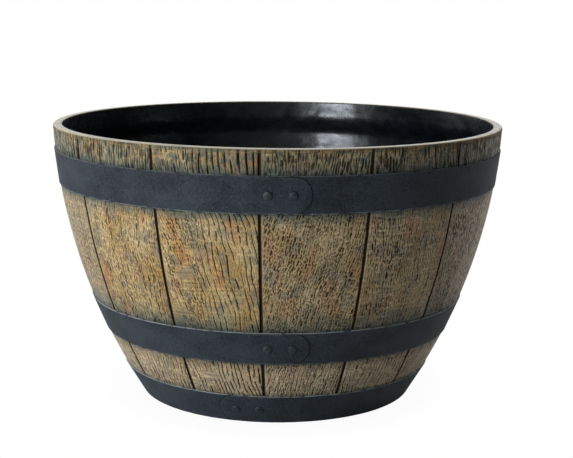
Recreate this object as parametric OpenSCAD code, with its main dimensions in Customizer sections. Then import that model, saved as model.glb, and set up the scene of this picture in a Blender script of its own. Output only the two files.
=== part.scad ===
// Barrel bowl planter: a wide, low plastic tub shaped like the lower half of a barrel.
// The origin is on the ground at the centre of the base. +Z is up and the front faces -Y.
// An azimuth is an angle about Z, from the front towards +X. Wall thicknesses, the hoops'
// stand and the seats' depth are measured level, from the wall's outer face.

/* [Overall] */
// Outside diameter across the lip
rim_d = 526; // [440:2:620]
// Outside diameter of the stave wall at the ground
base_d = 318; // [260:2:380]
// Height from the ground to the top of the lip
height = 320; // [280:1:400]
// How far the wall bulges past a straight line from base to lip
wall_bow = 22; // [8:1:36]

/* [Rim ring] */
// Width of the lip, from its outer edge to the mouth
lip_w = 10.5; // [10:0.5:22]
// Height of the ring's outer edge, which stands on the jacket
lip_h = 4.5; // [3:0.1:8]
// Thickness of the ring's skin over the inner bowl
lip_skin = 1.2; // [0.8:0.1:2.4]
// Radius of the lip's outer corner
lip_round = 3; // [1:0.1:4]
// Width of the tongue that holds the ring in the inner bowl
tongue_w = 2; // [1.2:0.1:3]
// Depth of the tongue below the skin
tongue_d = 5; // [3:0.5:10]

/* [Stave jacket] */
// Thickness of the jacket
jacket_t = 3; // [2.6:0.1:5]
// Number of staves round the jacket
stave_count = 14; // [8:1:20]
// Azimuth of the seam nearest the front
seam_az = -4; // [-9:0.1:9]
// Width of a seam between two staves
groove_w = 2.6; // [1.5:0.1:5]
// Depth of a seam
groove_d = 1.5; // [0.8:0.1:2]
// Height of the lower edges of the jacket and the base hoop over the ground
ground_gap = 1; // [0.5:0.1:2]

/* [Hoops] */
// How far the hoops stand out of the stave wall
hoop_proud = 1.2; // [1:0.1:4]
// Depth of the seats that the hoops lie in
seat_d = 0.9; // [0.5:0.1:1.5]
// From the top of the lip down to the top hoop's upper edge
top_hoop_drop = 26.7; // [16:0.1:50]
// Width of the top hoop
top_hoop_w = 41; // [26:0.5:54]
// From the ground up to the middle hoop's lower edge
middle_hoop_rise = 80.3; // [65:0.1:110]
// Width of the middle hoop
middle_hoop_w = 39.5; // [26:0.5:54]
// Width of the base hoop
base_hoop_w = 37.3; // [26:0.1:54]
// Bevel along the hoops' outer edges
hoop_bevel = 0.8; // [0.3:0.1:0.9]

/* [Laps and rivets] */
// Azimuth of the top hoop's strap end
top_lap_az = 7.8; // [-40:0.1:40]
// Azimuth of the middle hoop's strap end
middle_lap_az = 9.5; // [-40:0.1:40]
// Azimuth of the base hoop's strap end
base_lap_az = -20.4; // [-60:0.1:0]
// How far a strap's end stands out of the strap beneath it
lap_rise = 1.2; // [0.6:0.1:2]
// How much narrower a strap's end is than the hoop, on each side
lap_inset = 1.5; // [0.8:0.1:4]
// How far a strap's raised end runs on behind its second rivet
lap_tail = 30; // [26:0.5:60]
// Length of the slope at the back of a strap's raised end
ramp_l = 14; // [8:0.5:18]
// Distance between a lap's two rivets
rivet_step = 26; // [18:0.5:34]
// Diameter of a rivet's shank
rivet_d = 4.2; // [3:0.1:6]
// Diameter of a rivet's head
rivet_head_d = 9.6; // [8:0.1:14]
// Height of a rivet's head
rivet_head_h = 2; // [1.2:0.1:3]

/* [Inner bowl] */
// Thickness of the inner bowl's wall
bowl_t = 2.5; // [2:0.1:5]
// Height of the thick collar behind the lip
collar_h = 22; // [14:0.5:40]
// Height over which the collar runs out into the wall
collar_run = 18; // [8:0.5:40]
// Height of the floor's underside over the ground
floor_rise = 14; // [11:0.5:24]
// Thickness of the floor
floor_t = 4; // [2.5:0.1:6]
// Size of the fillet between floor and wall
floor_fillet = 16; // [6:0.5:30]
// Diameter of the raised middle of the floor
centre_d = 120; // [60:1:140]
// Height of the raised middle of the floor
centre_h = 2; // [1:0.1:4]
// Width of the standing ring
foot_w = 6; // [4:0.1:12]
// Number of ribs under the floor
rib_count = 6; // [3:3:12]
// Thickness of a rib
rib_t = 3; // [2:0.1:5]
// Depth of the ribs below the floor
rib_h = 8; // [4:0.1:9]
// Width of the water channels through the standing ring
channel_w = 14; // [6:0.5:24]
// Height of the water channels
channel_h = 3; // [2:0.1:6]

/* [Drains] */
// Diameter of a drain hole
drain_d = 20; // [14:0.5:26]
// Diameter of the circle that the drains lie on
drain_pcd = 190; // [176:1:210]
// Length of a drain socket, from its rim down
socket_l = 12; // [8:0.5:13]
// Wall of a drain socket
socket_wall = 4; // [2.5:0.1:6]
// How far a plug's flange reaches past the drain hole
flange_w = 6; // [4:0.1:9]
// Thickness of a plug's flange
flange_t = 3; // [2:0.1:4]
// Width of a plug's grip
grip_w = 16; // [12:0.5:22]
// Height of a plug's grip over its flange
grip_h = 11; // [10:0.5:16]
// Thickness of a plug's grip
grip_t = 4.5; // [3:0.1:7]

/* [Clearances] */
// Between the jacket and the inner bowl
nest_gap = 0.3; // [0.2:0.05:0.6]
// Between a hoop and its seat
hoop_fit = 0.15; // [0.1:0.05:0.3]
// Between a rivet's shank and its hole, on the radius
rivet_fit = 0.05; // [0.02:0.01:0.15]
// Between the ring's tongue and its groove, on each side
tongue_fit = 0.15; // [0.1:0.05:0.3]
// Between a plug's stem and the drain hole, on the radius
plug_fit = 0.3; // [0.2:0.05:0.5]
// Between a plug's flange and the floor
flange_gap = 0.3; // [0.2:0.05:0.5]

/* [Hidden] */
$fn = 120;

wall_steps = 16;
corner_steps = 6;
end_steps = 24;
spare = 5;
rim_r = rim_d / 2;
base_r = base_d / 2;

// The wall's outer face is one arc from base to lip
chord = sqrt(pow(rim_r - base_r, 2) + pow(height, 2));
arc_r = chord * chord / (8 * wall_bow) + wall_bow / 2;
arc_back = (arc_r - wall_bow) / chord;
arc_centre_r = (rim_r + base_r) / 2 - height * arc_back;
arc_centre_z = height / 2 + (rim_r - base_r) * arc_back;

// Heights
jacket_top = height - lip_h;
bowl_top = height - lip_skin;
floor_top = floor_rise + floor_t;
collar_z = height - collar_h;

// Insets from the wall's outer face
bowl_inset = jacket_t + nest_gap;
liner_inset = bowl_inset + bowl_t;

// Radii
mouth_r = rim_r - lip_w;
foot_r = base_r - bowl_inset;
drain_r = drain_d / 2;
drain_circle_r = drain_pcd / 2;
shank_r = rivet_d / 2;

// A hoop is its lower edge, its upper edge, its strap end's azimuth and the way that the end points
top_band = [height - top_hoop_drop - top_hoop_w, height - top_hoop_drop, top_lap_az, 1];
middle_band = [middle_hoop_rise, middle_hoop_rise + middle_hoop_w, middle_lap_az, 1];
base_band = [ground_gap, ground_gap + base_hoop_w, base_lap_az, -1];

stave_angle = 360 / stave_count;
plug_count = 3;
plug_angle = 360 / plug_count;
plug_az = plug_angle / 4;

function backwards(points) = [for (i = [len(points) - 1 : -1 : 0]) points[i]];

// Radius of the wall's outer face at height z
function wall_r(z) = arc_centre_r + sqrt(pow(arc_r, 2) - pow(z - arc_centre_z, 2));

// Points down inside the wall, from height low up to height high
function wall_line(low, high, inset) =
    [for (i = [0 : wall_steps]) let (z = low + (high - low) * i / wall_steps) [wall_r(z) - inset, z]];

// A corner from a to c, rounded towards b
function corner(a, b, c) =
    [for (i = [0 : corner_steps]) let (t = i / corner_steps)
        pow(1 - t, 2) * a + 2 * t * (1 - t) * b + t * t * c];

// A hoop's cross-section is straight, so its own wall line is too
function band_slope(band) = (wall_r(band[1]) - wall_r(band[0])) / (band[1] - band[0]);
function band_r(band, z) = wall_r(band[0]) + band_slope(band) * (z - band[0]);
function band_mid(band) = (band[0] + band[1]) / 2;
function band_face(band) = band_r(band, band_mid(band)) + hoop_proud;

// The strap's end is a round of this radius, with the lap's outer rivet at its centre
function end_r(band) = (band[1] - band[0]) / 2 - lap_inset;
function turn(band, length) = length / band_face(band) * 180 / PI;

function rivet_back(band, i) = end_r(band) + i * rivet_step;
function rivet_az(band, i) = band[2] - band[3] * turn(band, rivet_back(band, i));
function band_tilt(band) = atan(band_slope(band));

module at_azimuth(azimuth) {
    rotate([0, 0, azimuth]) children();
}

// A flat plate in the plane of the axis, from an outline of radius and height
module radial_plate(azimuth, thickness, points) {
    at_azimuth(azimuth - 90) rotate([90, 0, 0])
        linear_extrude(thickness, center = true) polygon(points);
}

// What lies inside a hoop's wall line, moved out by a distance
module band_cone(band, out, over = 0) {
    translate([0, 0, band[0] - over])
        cylinder(h = band[1] - band[0] + 2 * over,
                 r1 = band_r(band, band[0] - over) + out,
                 r2 = band_r(band, band[1] + over) + out);
}

// Puts its children on a hoop's face, pointing out, a length behind its strap end
module on_face(band, back, out = 0) {
    at_azimuth(band[2] - band[3] * turn(band, back))
        translate([0, -band_face(band) - out, band_mid(band)])
            rotate([90 + band_tilt(band), 0, 0]) children();
}

module rivet_holes(band) {
    depth = jacket_t + hoop_proud + lap_rise + spare;
    for (i = [0, 1])
        on_face(band, rivet_back(band, i), lap_rise) translate([0, 0, -depth])
            cylinder(h = depth + spare, r = shank_r + rivet_fit);
}

// The space that a hoop takes up in the jacket
module hoop_seat(band) {
    low = band[0] - hoop_fit;
    high = band[1] + hoop_fit;
    rotate_extrude() polygon([
        [band_r(band, low) - seat_d, low],
        [band_r(band, low) + spare, low],
        [band_r(band, high) + spare, high],
        [band_r(band, high) - seat_d, high]]);
}

module stave_jacket() {
    color("#a3845a") difference() {
        rotate_extrude() polygon(concat(
            wall_line(ground_gap, jacket_top, 0),
            backwards(wall_line(ground_gap, jacket_top, jacket_t))));
        for (i = [0 : stave_count - 1])
            radial_plate(seam_az + i * stave_angle, groove_w, concat(
                wall_line(ground_gap - spare, jacket_top + spare, groove_d),
                backwards(wall_line(ground_gap - spare, jacket_top + spare, -spare))));
        hoop_seat(top_band);
        hoop_seat(middle_band);
        hoop_seat(base_band);
        rivet_holes(top_band);
        rivet_holes(middle_band);
        rivet_holes(base_band);
    }
}

module rim_ring() {
    round_r = min(lip_round, lip_h - lip_skin);
    tongue_mid = (mouth_r + wall_r(bowl_top) - bowl_inset) / 2;
    color("#9a9081") rotate_extrude() polygon(concat(
        [[mouth_r, bowl_top], [mouth_r, height - lip_skin / 2], [mouth_r + lip_skin / 2, height]],
        corner([wall_r(height) - round_r, height],
               [wall_r(height), height],
               [wall_r(height - round_r), height - round_r]),
        [[wall_r(jacket_top), jacket_top],
         [wall_r(jacket_top) - jacket_t, jacket_top],
         [wall_r(bowl_top) - jacket_t, bowl_top],
         [tongue_mid + tongue_w / 2, bowl_top],
         [tongue_mid + tongue_w / 2, bowl_top - tongue_d],
         [tongue_mid - tongue_w / 2, bowl_top - tongue_d],
         [tongue_mid - tongue_w / 2, bowl_top]]));
}

// The outline of a strap's end as seen from outside: a half round and its straight sides
function end_outline(band) = [
    for (i = [0 : end_steps]) let (a = i * 180 / end_steps - 90)
        [band[3] * end_r(band) * cos(a), band_mid(band) + end_r(band) * sin(a)],
    [-band[3] * (rivet_step + lap_tail), band_mid(band) + end_r(band)],
    [-band[3] * (rivet_step + lap_tail), band_mid(band) - end_r(band)]];

// The overlapping end of a hoop's strap, rooted halfway into the hoop
module lap_end(band) {
    reach = rivet_step + lap_tail;
    difference() {
        intersection() {
            band_cone(band, hoop_proud + lap_rise);
            at_azimuth(rivet_az(band, 0)) translate([0, reach - band_face(band), 0])
                rotate([90, 0, 0]) linear_extrude(rim_r) polygon(end_outline(band));
            on_face(band, end_r(band) + reach) rotate([0, -band[3] * atan(lap_rise / ramp_l), 0])
                translate([0, 0, -rim_r]) cube(2 * rim_r, center = true);
        }
        band_cone(band, hoop_proud / 2, spare);
    }
}

module hoop(band) {
    low_in = band_r(band, band[0]) - seat_d + hoop_fit;
    high_in = band_r(band, band[1]) - seat_d + hoop_fit;
    low_out = band_r(band, band[0]) + hoop_proud;
    high_out = band_r(band, band[1]) + hoop_proud;
    bevel_r = band_slope(band) * hoop_bevel;
    difference() {
        union() {
            rotate_extrude() polygon([
                [low_in, band[0]],
                [low_out - hoop_bevel, band[0]],
                [low_out + bevel_r, band[0] + hoop_bevel],
                [high_out - bevel_r, band[1] - hoop_bevel],
                [high_out - hoop_bevel, band[1]],
                [high_in, band[1]]]);
            lap_end(band);
        }
        rivet_holes(band);
    }
}

module rivets(band) {
    head_r = rivet_head_d / 2;
    dome_r = (head_r * head_r + rivet_head_h * rivet_head_h) / (2 * rivet_head_h);
    depth = band_face(band) + lap_rise - wall_r(band_mid(band)) + jacket_t;
    shank_l = depth * cos(band_tilt(band));
    for (i = [0, 1])
        on_face(band, rivet_back(band, i), lap_rise) {
            intersection() {
                translate([0, 0, rivet_head_h - dome_r]) sphere(r = dome_r);
                cylinder(h = rivet_head_h + spare, r = head_r + spare);
            }
            translate([0, 0, -shank_l]) cylinder(h = shank_l + rivet_head_h / 2, r = shank_r);
        }
}

module top_hoop() {
    color("#3a3f45") hoop(top_band);
}

module middle_hoop() {
    color("#3a3f45") hoop(middle_band);
}

module base_hoop() {
    color("#3a3f45") hoop(base_band);
}

module top_hoop_rivets() {
    color("#4a4f55") rivets(top_band);
}

module middle_hoop_rivets() {
    color("#4a4f55") rivets(middle_band);
}

module base_hoop_rivets() {
    color("#4a4f55") rivets(base_band);
}

module at_drain(i) {
    at_azimuth(plug_az + i * plug_angle) translate([0, -drain_circle_r, 0]) children();
}

module inner_bowl() {
    collar_mid = (mouth_r + wall_r(bowl_top) - bowl_inset) / 2;
    slot_w = tongue_w + 2 * tongue_fit;
    fillet_top = floor_top + floor_fillet;
    foot_in = foot_r - foot_w;
    color("#1b1d20") difference() {
        union() {
            rotate_extrude() polygon(concat(
                [[foot_in, 0]],
                wall_line(0, bowl_top, bowl_inset),
                [[mouth_r, bowl_top], [wall_r(collar_z) - lip_w, collar_z]],
                backwards(wall_line(fillet_top, collar_z - collar_run, liner_inset)),
                backwards(corner([wall_r(floor_top) - liner_inset - floor_fillet, floor_top],
                                 [wall_r(floor_top) - liner_inset, floor_top],
                                 [wall_r(fillet_top) - liner_inset, fillet_top])),
                [[centre_d / 2 + centre_h, floor_top], [centre_d / 2, floor_top + centre_h],
                 [0, floor_top + centre_h], [0, floor_rise], [foot_in, floor_rise]]));
            for (i = [0 : rib_count - 1])
                at_azimuth(i * 360 / rib_count)
                    translate([-rib_t / 2, -foot_in - foot_w / 2, floor_rise - rib_h])
                        cube([rib_t, foot_in + foot_w / 2, rib_h + floor_t / 2]);
            for (i = [0 : plug_count - 1])
                at_drain(i) translate([0, 0, floor_top - socket_l])
                    cylinder(h = socket_l - floor_t / 2, r = drain_r + socket_wall);
        }
        for (i = [0 : plug_count - 1])
            at_drain(i) translate([0, 0, -spare])
                cylinder(h = floor_top + 2 * spare, r = drain_r);
        for (i = [0 : rib_count - 1])
            at_azimuth((i + 0.5) * 360 / rib_count)
                translate([-channel_w / 2, -foot_r - spare, -spare])
                    cube([channel_w, foot_w + 2 * spare, spare + channel_h]);
        rotate_extrude()
            translate([collar_mid - slot_w / 2, bowl_top - tongue_d - tongue_fit])
                square([slot_w, tongue_d + spare]);
    }
}

module drain_plug(i) {
    stem_r = drain_r - plug_fit;
    flange_r = drain_r + flange_w;
    flange_z = floor_top + flange_gap;
    tip_z = floor_top - socket_l;
    bevel = flange_t / 3;
    color("#26282b") at_drain(i) {
        rotate_extrude() polygon([
            [0, tip_z],
            [stem_r - bevel, tip_z],
            [stem_r, tip_z + bevel],
            [stem_r, flange_z],
            [flange_r, flange_z],
            [flange_r, flange_z + flange_t - bevel],
            [flange_r - bevel, flange_z + flange_t],
            [0, flange_z + flange_t]]);
        translate([0, grip_t / 2, flange_z + flange_t / 2]) rotate([90, 0, 0])
            linear_extrude(grip_t) {
                translate([-grip_w / 2, 0])
                    square([grip_w, grip_h + flange_t / 2 - grip_w / 2]);
                translate([0, grip_h + flange_t / 2 - grip_w / 2])
                    intersection() {
                        circle(d = grip_w);
                        translate([-grip_w / 2, 0]) square([grip_w, grip_w]);
                    }
            }
    }
}

stave_jacket();
inner_bowl();
rim_ring();
top_hoop();
middle_hoop();
base_hoop();
top_hoop_rivets();
middle_hoop_rivets();
base_hoop_rivets();
drain_plug(0);  // drain_plug_1
drain_plug(1);  // drain_plug_2
drain_plug(2);  // drain_plug_3
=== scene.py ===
"""The looks of a barrel bowl planter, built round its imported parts.

Sizes are in millimetres, and meshes in metres. +Z is up and the front faces -Y.
An azimuth is in degrees, from the front towards +X.
"""
import math
from functools import reduce

import bmesh
import bpy
import numpy as np
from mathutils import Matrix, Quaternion, Vector


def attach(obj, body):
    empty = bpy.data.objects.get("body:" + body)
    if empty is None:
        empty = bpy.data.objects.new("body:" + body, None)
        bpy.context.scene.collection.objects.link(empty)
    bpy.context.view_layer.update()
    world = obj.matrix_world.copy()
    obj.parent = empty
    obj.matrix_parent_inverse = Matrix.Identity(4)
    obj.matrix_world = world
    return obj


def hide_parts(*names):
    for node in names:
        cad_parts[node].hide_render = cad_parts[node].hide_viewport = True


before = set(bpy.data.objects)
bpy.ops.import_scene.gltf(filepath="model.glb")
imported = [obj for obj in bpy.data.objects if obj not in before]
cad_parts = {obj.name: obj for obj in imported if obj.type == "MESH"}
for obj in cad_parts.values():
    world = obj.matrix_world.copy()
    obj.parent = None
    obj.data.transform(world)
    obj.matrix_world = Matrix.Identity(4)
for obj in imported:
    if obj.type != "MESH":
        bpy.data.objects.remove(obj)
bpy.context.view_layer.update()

MM = 0.001
RADIANS = math.pi / 180
DEGREES = 180 / math.pi

# Vertices this close, in metres, become one where a sheet closes on itself
WELD = 2e-6

# The wall is one arc from base to lip
RIM_R = 263.0
BASE_R = 159.0
HEIGHT = 320.0
WALL_BOW = 22.0
CHORD = math.hypot(RIM_R - BASE_R, HEIGHT)
ARC_R = CHORD ** 2 / (8 * WALL_BOW) + WALL_BOW / 2
ARC_BACK = (ARC_R - WALL_BOW) / CHORD
ARC_CENTRE_R = (RIM_R + BASE_R) / 2 - HEIGHT * ARC_BACK
ARC_CENTRE_Z = HEIGHT / 2 + (RIM_R - BASE_R) * ARC_BACK

# Staves
STAVE_COUNT = 14
STAVE_ANGLE = 360 / STAVE_COUNT
SEAM_AZ = -4.0
SEAM_W = 2.6
SEAM_D = 1.5
JACKET_T = 3.0
JACKET_LOW = 1.0
JACKET_TOP = 315.5
SEAT_D = 1.4
SEAT_MARGIN = 0.8

# Radii at which the wood's figure and the hoops' dents are measured round the wall
FIGURE_R = 235.0
ROUND_R = 260.0

# Height from which the figure and the paint change above the top hoop
ABOVE_HOOP = 288.0

# Hoops: lower edge, upper edge, azimuth of the strap's end, way that the end points
BANDS = {
    "top_hoop": (252.3, 293.3, 7.8, 1),
    "middle_hoop": (80.3, 119.8, 9.5, 1),
    "base_hoop": (1.0, 38.3, -20.4, -1),
}
HOOP_PROUD = 1.2
HOOP_SUNK = 0.75
LAP_RISE = 1.2
LAP_INSET = 1.5
LAP_TAIL = 30.0
RAMP_L = 14.0
RIVET_STEP = 26.0
RIVET_HEAD_R = 4.8
RIVET_HEAD_H = 2.0

# Rim ring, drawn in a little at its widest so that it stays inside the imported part's box
LIP_W = 10.5
LIP_SKIN = 1.2
LIP_IN = 0.25
MOUTH_R = RIM_R - LIP_W
BOWL_TOP = HEIGHT - LIP_SKIN
TONGUE_W = 2.0
TONGUE_D = 5.0

# Inner bowl
BOWL_INSET = 3.3
LINER_INSET = 5.8
COLLAR_Z = 298.0
COLLAR_END_Z = 280.0
FLOOR_UNDER = 14.0
FLOOR_TOP = 18.0
FILLET = 16.0
CENTRE_R = 60.0
CENTRE_H = 2.0
FOOT_W = 6.0
RIB_COUNT = 6
RIB_T = 3.0
RIB_H = 8.0
CHANNEL_W = 14.0
CHANNEL_H = 3.0

# Drains and plugs
DRAIN_R = 10.0
DRAIN_CIRCLE_R = 95.0
DRAIN_AZ = (30, 150, 270)
SOCKET_R = 14.0
SOCKET_LOW = 6.0
STEM_R = 9.7
FLANGE_R = 16.0
FLANGE_LOW = 18.3
FLANGE_TOP = 21.3
GRIP_W = 16.0
GRIP_T = 4.5
GRIP_TOP = 32.3


def wall_r(z):
    """Radius of the wall's outer face at a height, for a number or an array."""
    return ARC_CENTRE_R + (ARC_R ** 2 - (z - ARC_CENTRE_Z) ** 2) ** 0.5


def band_line(low, high):
    """A hoop's wall line is straight: its radius at height 0 and its slope."""
    slope = (wall_r(high) - wall_r(low)) / (high - low)
    return wall_r(low) - slope * low, slope


def linear(code):
    """A colour written as a hex code, as the linear values that nodes take."""
    parts = [int(code[i:i + 2], 16) / 255 for i in (1, 3, 5)]
    return tuple(p / 12.92 if p <= 0.04045 else ((p + 0.055) / 1.055) ** 2.4 for p in parts) + (1.0,)


# Node trees

class Field:
    """The value of a socket. Sums with it add Math nodes to its tree."""

    def __init__(self, tree, socket):
        self.tree = tree
        self.socket = socket

    def __add__(self, other):
        return self.tree.math("ADD", self, other)

    def __radd__(self, other):
        return self.tree.math("ADD", other, self)

    def __sub__(self, other):
        return self.tree.math("SUBTRACT", self, other)

    def __rsub__(self, other):
        return self.tree.math("SUBTRACT", other, self)

    def __mul__(self, other):
        return self.tree.math("MULTIPLY", self, other)

    def __rmul__(self, other):
        return self.tree.math("MULTIPLY", other, self)

    def __truediv__(self, other):
        return self.tree.math("DIVIDE", self, other)

    def __pow__(self, other):
        return self.tree.math("POWER", self, other)

    def __neg__(self):
        return self.tree.math("MULTIPLY", self, -1)

    def floor(self):
        return self.tree.math("FLOOR", self)

    def fraction(self):
        return self.tree.math("FRACT", self)

    def size(self):
        return self.tree.math("ABSOLUTE", self)

    def root(self):
        return self.tree.math("SQRT", self)

    def least(self, other):
        return self.tree.math("MINIMUM", self, other)

    def most(self, other):
        return self.tree.math("MAXIMUM", self, other)

    def above(self, other):
        return self.tree.math("GREATER_THAN", self, other)

    def clamp(self):
        return self.least(1).most(0)

    def rise(self, low, high):
        """0 below low, 1 above high, and smooth between them."""
        return self.tree.get("ShaderNodeMapRange", {"interpolation_type": "SMOOTHSTEP"},
                             {"Value": self, "From Min": low, "From Max": high})

    def fall(self, low, high):
        """1 below low, 0 above high, and smooth between them."""
        return 1 - self.rise(low, high)


def strongest(fields):
    """The greatest of several fields at each place."""
    return reduce(Field.most, fields)


def find(sockets, key):
    """A socket by its number, identifier or name."""
    if isinstance(key, int):
        return sockets[key]
    for socket in sockets:
        if socket.identifier == key:
            return socket
    return sockets[key]


class Tree:
    """A tree of shader or geometry nodes."""

    def __init__(self, nodes):
        self.tree = nodes

    def add(self, kind, settings=None, inputs=None):
        node = self.tree.nodes.new(kind)
        for name, value in (settings or {}).items():
            if name == "stops":
                ramp = node.color_ramp
                while len(ramp.elements) < len(value):
                    ramp.elements.new(1.0)
                for element, (place, colour) in zip(ramp.elements, value):
                    element.position = place
                    element.color = colour
            elif name == "interpolation":
                node.color_ramp.interpolation = value
            else:
                setattr(node, name, value)
        for name, value in (inputs or {}).items():
            socket = find(node.inputs, name)
            if isinstance(value, Field):
                self.tree.links.new(value.socket, socket)
            else:
                socket.default_value = value
        return node

    def get(self, kind, settings=None, inputs=None, output=0):
        node = self.add(kind, settings, inputs)
        return Field(self, find(node.outputs, output))

    def math(self, operation, *values):
        return self.get("ShaderNodeMath", {"operation": operation}, dict(enumerate(values)))

    def vector(self, x, y, z):
        return self.get("ShaderNodeCombineXYZ", {}, {"X": x, "Y": y, "Z": z})

    def parts(self, vector):
        node = self.add("ShaderNodeSeparateXYZ", {}, {"Vector": vector})
        return [Field(self, socket) for socket in node.outputs]

    def noise(self, x, y, z=0.0, detail=2.0, roughness=0.5):
        """A cloudy pattern from 0 to 1, one cloud wide for each step of 1 in x, y or z."""
        return self.get("ShaderNodeTexNoise", {}, {
            "Vector": self.vector(x, y, z), "Scale": 1.0, "Detail": detail, "Roughness": roughness})

    def blend(self, factor, under, over, mode="MIX"):
        return self.get("ShaderNodeMix", {"data_type": "RGBA", "blend_type": mode},
                        {"Factor_Float": factor, "A_Color": under, "B_Color": over}, "Result_Color")


def walk(index, start, legs):
    """Follows a path by a vertex's index. A leg is its number of steps and what it adds to each value."""
    values = list(start)
    first = 0
    for steps, *changes in legs:
        part = ((index - first) / steps).clamp()
        values = [value + part * change if isinstance(change, Field) or change else value
                  for value, change in zip(values, changes)]
        first += steps
    return values


def steps_in(legs):
    return sum(leg[0] for leg in legs)


# Wood figure, the same for relief and paint

def stave_place(tree, point):
    """Where a point lies on its stave, in millimetres, with the stave's number."""
    x, y, z = tree.parts(point)
    azimuth = tree.math("ARCTAN2", x, -y) * DEGREES
    turn = (azimuth - SEAM_AZ) / STAVE_ANGLE
    whole = turn.floor()
    part = turn - whole
    number = tree.math("FLOORED_MODULO", whole + STAVE_COUNT, STAVE_COUNT)
    radius = (x * x + y * y).root() / MM
    to_seam = part.least(1 - part) * radius * math.radians(STAVE_ANGLE)
    across = (part - 0.5) * (FIGURE_R * math.radians(STAVE_ANGLE))
    return {"across": across, "along": z / MM, "number": number, "to_seam": to_seam}


# How each of the four stave patterns is cut: lean of the grain, short pores, long lines,
# smooth patches, saw marks and how close the pores follow each other
PATTERNS = [
    (0.27, 0.98, 0.0, 0.2, 0.2, 1.0),
    (-0.03, 1.05, 0.6, 0.4, 1.0, 0.75),
    (0.05, 0.9, 0.3, 0.3, 0.2, 0.6),
    (-0.2, 0.6, 1.0, 0.9, 0.4, 0.9),
]
STAVE_PATTERNS = (0, 1, 2, 3, 0, 1, 2, 3, 0, 1, 3, 1, 2, 3)

# How grey each stave's paint is. Staves 3 and 12, which turn away at the sides seen from the front, are
# greyer partly as painted sheen
STAVE_GREYS_AND_SHEEN = (0.35, 0.45, 0.8, 0.3, 0.1, 0.6, 0.2, 0.05, 0.5, 0.3, 0.1, 0.55, 0.1, 0.05)


def choose(tree, number, values):
    """Picks a value by a stave's number, from a list that is repeated round the wall."""
    count = len(values)
    place = tree.math("FLOORED_MODULO", number, count) / count + 0.5 / count

    # A ramp holds no value under 0, so each is halved and moved up, and the reverse is done at its end
    stops = [(i / count, (v * 0.5 + 0.5,) * 3 + (1.0,)) for i, v in enumerate(values)]
    ramp = tree.get("ShaderNodeValToRGB", {"interpolation": "CONSTANT", "stops": stops}, {"Fac": place})
    return ramp * 2 - 1


def grain_lines(tree, grain, along, shift, period, length, half_width):
    """Long lines along the grain, a period apart, each thinned and broken at its own places."""
    step = grain / period + tree.noise(grain * 0.05 + shift, along * 0.03, period, detail=1.0) * 1.5
    line = step.floor()
    own = line * 7.31 + shift
    sway = tree.noise(own, along * 0.12, 1.3, detail=3.0) - 0.5
    off = (step - line - 0.5 - sway * 0.4).size() * period
    half = tree.noise(own, along / length, 5.9, detail=2.0).rise(0.34, 0.42) * half_width
    half = half * (0.15 + tree.noise(own, along / 8, 2.2, detail=1.0).rise(0.34, 0.46) * 0.9)
    return (half - off).rise(0.0, 0.25)


def grain_ticks(tree, grain, along, shift, period, length, half_width):
    """Short straight strokes along the grain, one in each cell of a staggered grid."""
    step = grain / period + tree.noise(grain * 0.05 + shift, along * 0.03, period, detail=1.0) * 1.5
    line = step.floor()
    start = tree.get("ShaderNodeTexWhiteNoise", {"noise_dimensions": "2D"}, {
        "Vector": tree.vector(line, shift, 0.0)})
    climb = along / length + start
    cell = climb.floor()
    own = tree.get("ShaderNodeTexWhiteNoise", {"noise_dimensions": "3D"}, {
        "Vector": tree.vector(line, cell, shift)}, "Color")
    aside, weight, reach = tree.parts(own)
    up = climb - cell - 0.5
    tilt = (aside * 7.13).fraction() - 0.5
    chain = tree.noise(line * 5.17 + shift, along / 30, 8.3, detail=1.0).rise(0.35, 0.65)
    off = (step - line - 0.5 - (aside - 0.5) * 0.6 - up * tilt * 0.8).size() * period
    ends = ((0.2 + reach * 0.35 - up.size()) * 7).clamp()
    half = ends * (0.15 + weight * 0.45 + chain * 0.6) * half_width
    return (half - off).rise(0.0, 0.25) * (0.7 + reach * 0.3)


def below_hoop(along):
    """1 on the staves' lower strip, and 0 above the middle hoop."""
    return along.fall(60, 100)


def wood_figure(tree, place):
    """The moulded figure of the staves: pores and grain lines, smooth patches, and saw marks."""
    across, along, number = place["across"], place["along"], place["number"]
    lean, pores, lines, smooth, sawn, close = [
        choose(tree, number, column) for column in zip(*(PATTERNS[i] for i in STAVE_PATTERNS))]
    shift = number * 37.7
    drift = (tree.noise(across * 0.012 + shift, along * 0.011, detail=1.0) - 0.5) * 18
    up = along.least(290) + (along - 290).most(0) * 0.4
    grain = across - up * lean + drift
    lined = across.rise(-20, 5) * lines
    patch = tree.noise(across * 0.034 + shift, along * 0.045 + 5.3, detail=2.0).rise(0.5, 0.56) * smooth
    patch = patch * (1 - lined * 0.85)
    low = below_hoop(along)
    ends = low.most(along.rise(ABOVE_HOOP, ABOVE_HOOP + 6))
    thick = 0.6 + tree.noise(grain * 0.04 + shift, along * 0.025 + 9.1, detail=2.0) * 0.7 + ends * 0.2
    short = thick * (1 - lined * 0.6) * (1 - low * 0.4)
    pore = grain_ticks(tree, grain, up * close, shift, 3.2, 6.5, short * pores)
    more = grain_ticks(tree, grain + up * 0.1, up * close, shift + 51, 2.4, 3.9, short * 0.85)
    right = 0.25 + across.rise(-25, 10) * 0.4
    long = thick * ((lines * (1 - low * 0.6) + ends * 0.3) * right + low * 0.32)
    line = grain_lines(tree, grain, up, shift + 23, 6.0, 60.0, long)
    strokes = pore.most(line).most(more * 0.85) * (1 - patch * 0.85)
    strokes = strokes * (0.2 + across.rise(-53, -46) * 0.8)
    saw = tree.noise(across * 0.03 + shift, along * 0.42, detail=2.0) - 0.5
    saw = saw * (0.35 + (patch + sawn * 0.6).clamp() * 0.9)
    return {"strokes": strokes, "patch": patch, "saw": saw, "shift": shift, "grain": grain}


# Geometry trees

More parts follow.
